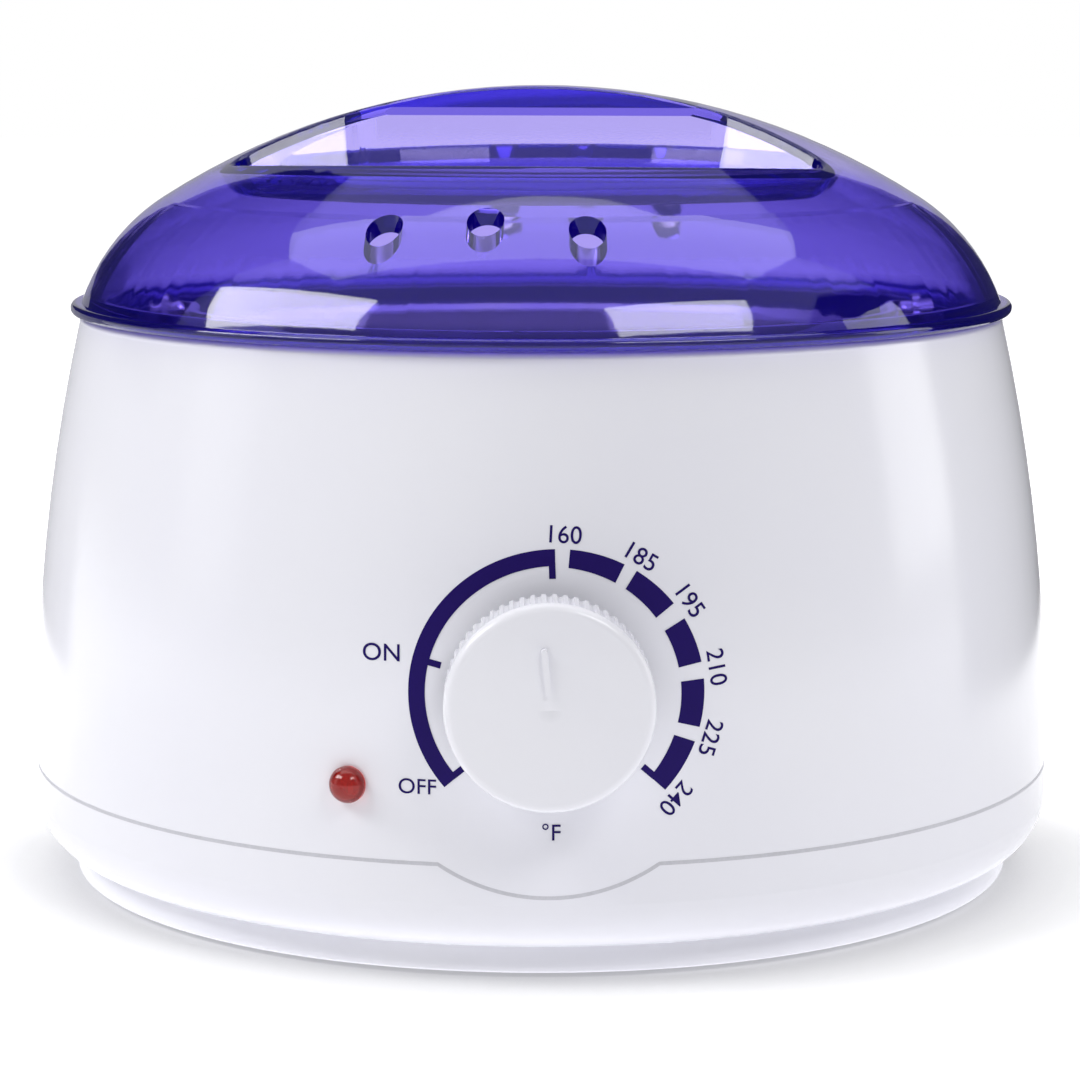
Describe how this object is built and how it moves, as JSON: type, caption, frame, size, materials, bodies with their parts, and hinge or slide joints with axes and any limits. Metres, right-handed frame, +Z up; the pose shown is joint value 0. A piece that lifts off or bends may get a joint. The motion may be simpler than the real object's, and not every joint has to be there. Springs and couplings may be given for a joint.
{
  "type": "wax warmer pot",
  "caption": "Round electric wax warmer with a bulged two-part shell, a lift-out pot with a wire bail, a front dial, a signal lamp and a domed tinted lid with finger scoops and steam holes.",
  "frame": {"origin": "on the table under the middle of the round shell", "axes": "+Z up along the shell's axis, -Y towards the dial, +X to the right for someone facing the dial"},
  "size_m": [0.1856, 0.2075, 0.142],
  "materials": {
    "white_shell": "glossy moulded",
    "white_knob": "satin-gloss moulded",
    "lid_violet": "tinted see-through, polished",
    "pot_aluminium": "spun, satin",
    "well_aluminium": "spun, plain",
    "bright_steel": "plated",
    "foot_rubber": "matte",
    "pale_rubber": "matte",
    "dark_plastic": "moulded phenolic",
    "pale_plastic": "moulded",
    "mica": "laminated mica",
    "glass_fibre": "woven glass fibre",
    "brass": "plain",
    "lamp_red": "see-through red",
    "bulb_glass": "clear"
  },
  "bodies": {
    "housing": {"upper_housing": "white_shell", "base_pan": "white_shell", "rubber_feet": "foot_rubber", "base_screws": "bright_steel", "heating_well": "well_aluminium", "well_gasket": "pale_rubber", "well_brackets": "bright_steel", "bracket_screws": "bright_steel", "heater_band": "mica", "band_clamp_screw": "bright_steel", "insulation_wrap": "glass_fibre", "thermostat_body": "dark_plastic", "thermostat_nut": "brass", "sensor_saddle": "well_aluminium", "thermostat_blades": "brass", "lamp_lens": "lamp_red", "lamp_bulb": "bulb_glass", "lamp_clip": "bright_steel", "thermal_fuse": "bright_steel", "fuse_clip": "bright_steel", "terminal_block": "pale_plastic", "terminal_screws": "brass", "cord_gland": "pale_rubber"},
    "dial": {"knob": "white_knob", "thermostat_shaft": "bright_steel"},
    "pot": {"wax_pot": "pot_aluminium", "bail_ears": "bright_steel", "ear_rivets": "bright_steel"},
    "bail": {"bail": "bright_steel"},
    "lid": {"lid": "lid_violet"}
  },
  "joints": [
    {"name": "knob_turn", "type": "hinge", "parent": "housing", "child": "dial", "pos_m": [0, -0.0936, 0.048], "axis": [0, 1, 0], "range_deg": [-128, 138]},
    {"name": "pot_lift", "type": "slide", "parent": "housing", "child": "pot", "axis": [0, 0, 1], "range_m": [0, 0.07]},
    {"name": "lid_lift", "type": "slide", "parent": "pot", "child": "lid", "axis": [0, 0, 1], "range_m": [0, 0.13]},
    {"name": "bail_swing", "type": "hinge", "parent": "pot", "child": "bail", "pos_m": [0, 0, 0.102], "axis": [-1, 0, 0], "range_deg": [0, 90]}
  ],
  "couplings": [
    {"joint": "bail_swing", "follows": "lid_lift", "rad_per_m": 12.083}
  ]
}
